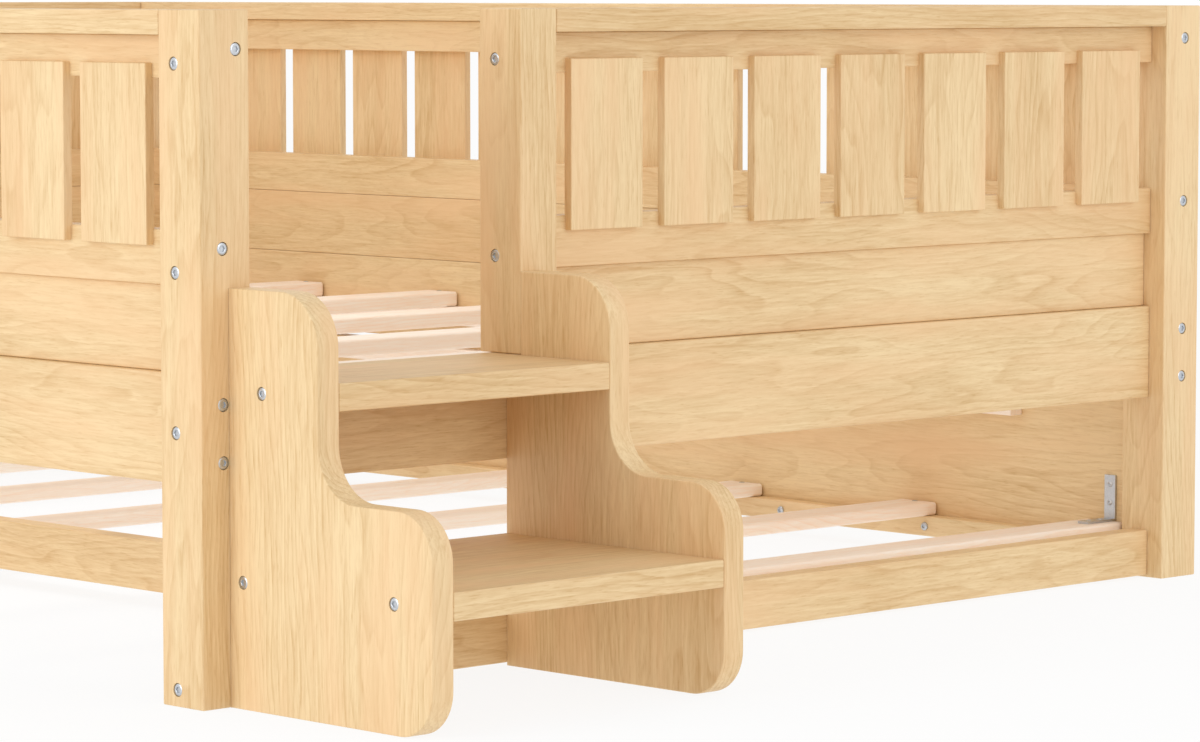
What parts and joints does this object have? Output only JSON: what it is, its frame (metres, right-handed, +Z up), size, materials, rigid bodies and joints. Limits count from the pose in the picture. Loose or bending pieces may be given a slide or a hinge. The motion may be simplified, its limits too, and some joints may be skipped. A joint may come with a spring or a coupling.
{
  "type": "platform bed with trundle",
  "caption": "Low platform bed with a slatted guard fence on all sides, a foot-end entrance with a stepped stair, and a pull-out slatted trundle on castors",
  "frame": {"origin": "on the floor, under the middle of the whole part's box, stair included", "axes": "Z up; Y runs from the foot end with the stair (-Y) to the head end (+Y); X runs across the bed, and the trundle pulls out toward +X"},
  "size_m": [1.665, 2.505, 0.742],
  "materials": {
    "finished_wood": "clear satin lacquer over pale golden wood with fine grain",
    "raw_pine": "raw planed pinkish pine",
    "zinc_steel": "bright zinc plate",
    "wheel_plastic": "moulded dark plastic"
  },
  "bodies": {
    "bed": {"post_foot_left": "finished_wood", "post_foot_right": "finished_wood", "post_head_left": "finished_wood", "post_head_right": "finished_wood", "post_entrance": "finished_wood", "foot_rail": "finished_wood", "foot_middle_board": "finished_wood", "foot_cap": "finished_wood", "foot_guard_panel": "finished_wood", "right_rail": "finished_wood", "right_middle_board": "finished_wood", "right_cap": "finished_wood", "right_guard_panel": "finished_wood", "head_rail": "finished_wood", "head_middle_board": "finished_wood", "head_cap": "finished_wood", "head_guard_panel": "finished_wood", "left_rail": "finished_wood", "left_middle_board": "finished_wood", "left_cap": "finished_wood", "left_guard_panel": "finished_wood", "foot_bottom_rail": "finished_wood", "head_bottom_rail": "finished_wood", "platform_cleat_left": "raw_pine", "platform_cleat_right": "raw_pine", "platform_slat_1": "raw_pine", "platform_slat_2": "raw_pine", "platform_slat_3": "raw_pine", "platform_slat_4": "raw_pine", "platform_slat_5": "raw_pine", "platform_slat_6": "raw_pine", "platform_slat_7": "raw_pine", "stair_panel_left": "finished_wood", "stair_panel_right": "finished_wood", "stair_tread_upper": "finished_wood", "stair_tread_lower": "finished_wood"},
    "trundle": {"trundle_front_board": "finished_wood", "trundle_rear_rail": "finished_wood", "trundle_cleat_front": "finished_wood", "trundle_cleat_rear": "finished_wood", "trundle_top_strip": "raw_pine", "trundle_slat_1": "raw_pine", "trundle_slat_2": "raw_pine", "trundle_slat_3": "raw_pine", "trundle_slat_4": "raw_pine", "trundle_slat_5": "raw_pine", "trundle_slat_6": "raw_pine", "trundle_slat_7": "raw_pine", "trundle_bracket_foot": "zinc_steel", "trundle_bracket_head": "zinc_steel", "castor_fork_front_foot": "zinc_steel", "castor_fork_front_head": "zinc_steel", "castor_fork_rear_foot": "zinc_steel", "castor_fork_rear_head": "zinc_steel"},
    "wheel_front_foot": {"castor_wheel_front_foot": "wheel_plastic"},
    "wheel_front_head": {"castor_wheel_front_head": "wheel_plastic"},
    "wheel_rear_foot": {"castor_wheel_rear_foot": "wheel_plastic"},
    "wheel_rear_head": {"castor_wheel_rear_head": "wheel_plastic"}
  },
  "joints": [
    {"name": "trundle_slide", "type": "slide", "parent": "bed", "child": "trundle", "axis": [1, 0, 0], "range_m": [0, 1.08]},
    {"name": "wheel_front_foot_spin", "type": "hinge", "parent": "trundle", "child": "wheel_front_foot", "pos_m": [0.7284, -0.7275, 0.02], "axis": [0, 1, 0], "continuous": true},
    {"name": "wheel_front_head_spin", "type": "hinge", "parent": "trundle", "child": "wheel_front_head", "pos_m": [0.7284, 1.0485, 0.02], "axis": [0, 1, 0], "continuous": true},
    {"name": "wheel_rear_foot_spin", "type": "hinge", "parent": "trundle", "child": "wheel_rear_foot", "pos_m": [-0.2734, -0.7275, 0.02], "axis": [0, 1, 0], "continuous": true},
    {"name": "wheel_rear_head_spin", "type": "hinge", "parent": "trundle", "child": "wheel_rear_head", "pos_m": [-0.2734, 1.0485, 0.02], "axis": [0, 1, 0], "continuous": true}
  ],
  "couplings": [
    {"joint": "wheel_front_foot_spin", "follows": "trundle_slide", "rad_per_m": 50},
    {"joint": "wheel_front_head_spin", "follows": "trundle_slide", "rad_per_m": 50},
    {"joint": "wheel_rear_foot_spin", "follows": "trundle_slide", "rad_per_m": 50},
    {"joint": "wheel_rear_head_spin", "follows": "trundle_slide", "rad_per_m": 50}
  ]
}
